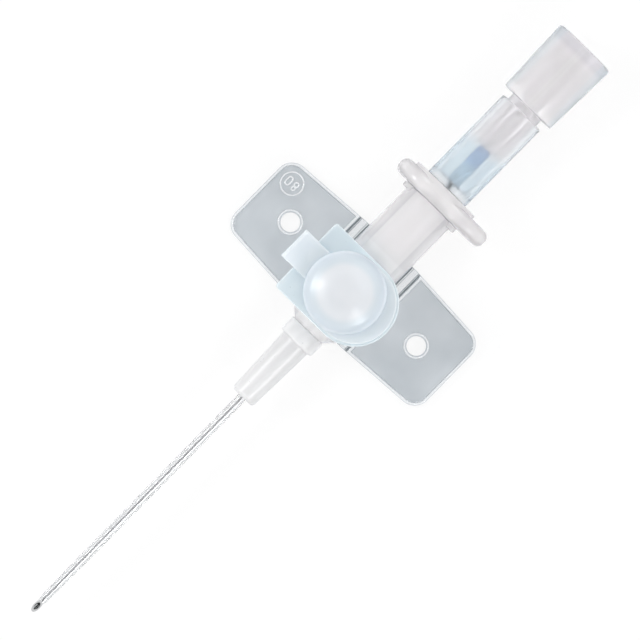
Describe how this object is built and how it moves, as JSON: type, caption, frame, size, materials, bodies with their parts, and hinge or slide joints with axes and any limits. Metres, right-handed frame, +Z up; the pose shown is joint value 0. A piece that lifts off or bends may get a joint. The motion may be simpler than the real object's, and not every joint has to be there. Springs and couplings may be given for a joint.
{
  "type": "winged intravenous cannula",
  "caption": "Over-the-needle vein cannula lying on its soft wings, with an upward injection port under a flip cap, a needle with its grip and clear flash chamber, and a vented end stopper.",
  "frame": {"origin": "point on the wings' underside straight below the axis of the injection port", "axes": "+X runs back along the needle axis from the needle point to the stopper, +Z up along the port's axis away from the skin, +Y across the wings towards the wing with the round mould mark"},
  "size_m": [0.0877, 0.0298, 0.0136],
  "materials": {
    "milky_plastic": "milky, semi-gloss",
    "wing_plastic": "clear grey, glossy",
    "cap_plastic": "pale blue, satin",
    "chamber_plastic": "clear, glossy",
    "stopper_plastic": "milky clear, semi-gloss",
    "blue_plastic": "blue, satin",
    "catheter_film": "clear, glossy",
    "silicone": "matt",
    "filter_felt": "porous, matt",
    "steel": "bright drawn steel"
  },
  "bodies": {
    "cannula": {"catheter_tube": "catheter_film", "catheter_ferrule": "steel", "catheter_hub": "milky_plastic", "wings": "wing_plastic", "port_valve": "silicone"},
    "cap_collar": {"port_cap_collar": "cap_plastic"},
    "cap_lid": {"port_cap_lid": "cap_plastic"},
    "needle_assembly": {"needle": "steel", "needle_grip": "milky_plastic", "flash_chamber": "chamber_plastic", "flash_tube": "blue_plastic"},
    "stopper": {"end_stopper": "stopper_plastic", "vent_filter": "filter_felt"}
  },
  "joints": [
    {"name": "cap_swivel", "type": "hinge", "parent": "cannula", "child": "cap_collar", "pos_m": [0, 0, 0.008], "axis": [0, 0, 1], "continuous": true},
    {"name": "cap_flip", "type": "hinge", "parent": "cap_collar", "child": "cap_lid", "pos_m": [0, 0.00735, 0.00892], "axis": [-1, 0, 0], "range_deg": [0, 135]},
    {"name": "needle_withdraw", "type": "slide", "parent": "cannula", "child": "needle_assembly", "axis": [1, 0, 0], "range_m": [0, 0.1]},
    {"name": "stopper_pull", "type": "slide", "parent": "needle_assembly", "child": "stopper", "axis": [1, 0, 0], "range_m": [0, 0.012]}
  ]
}
